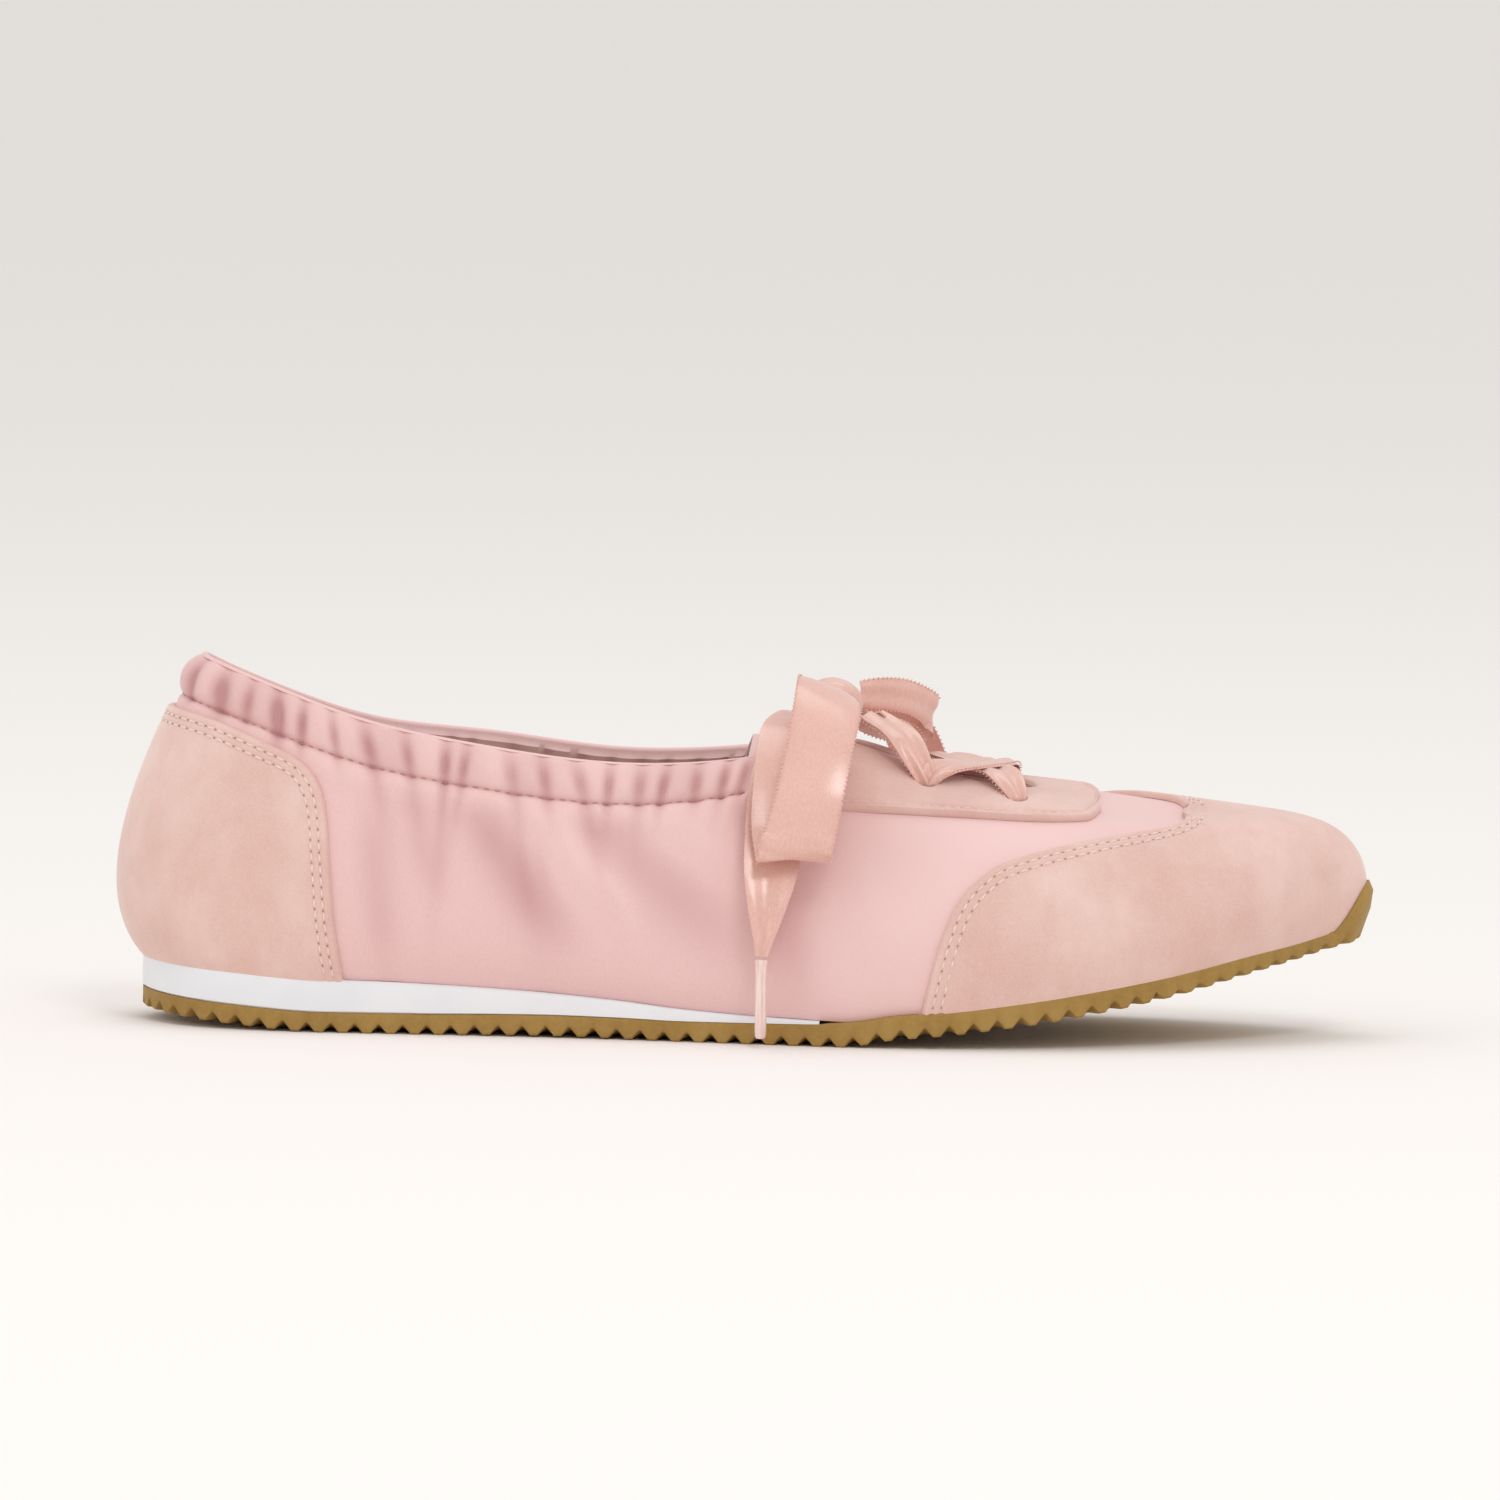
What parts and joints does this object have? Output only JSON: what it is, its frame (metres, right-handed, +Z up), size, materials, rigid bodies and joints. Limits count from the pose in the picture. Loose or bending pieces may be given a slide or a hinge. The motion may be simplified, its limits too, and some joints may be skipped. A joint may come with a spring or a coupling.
{
  "type": "ballet sneaker",
  "caption": "Low satin sneaker with suede toe cap, eyestay and heel counter, gathered collar, ribbon laces tied in a bow, and a toothed gum outsole with a foam wedge.",
  "frame": {"origin": "on the floor under the middle of the heel's flat spot", "axes": "+X to the toe, -Y to the outer side of the foot, +Z up"},
  "size_m": [0.2631, 0.0956, 0.0763],
  "materials": {
    "gum": "matt gum rubber",
    "foam": "white foam, satin",
    "lining": "plain woven lining",
    "satin": "satin weave with a soft sheen",
    "suede": "short nap suede",
    "ribbon": "satin ribbon with woven edges",
    "clear_tip": "clear film over ribbon, glossy"
  },
  "bodies": {
    "root": {"outsole": "gum", "midsole": "foam", "insole": "lining", "upper": "satin", "heel_counter": "suede", "toe_cap": "suede", "eyestay": "suede", "tongue": "lining", "lace_cross_front": "ribbon", "lace_cross_rear": "ribbon", "bow_knot": "ribbon", "bow_loop_near": "ribbon", "bow_loop_far": "ribbon", "lace_end_near": "ribbon", "lace_end_far": "ribbon", "aglet_near": "clear_tip", "aglet_far": "clear_tip"}
  },
  "joints": []
}
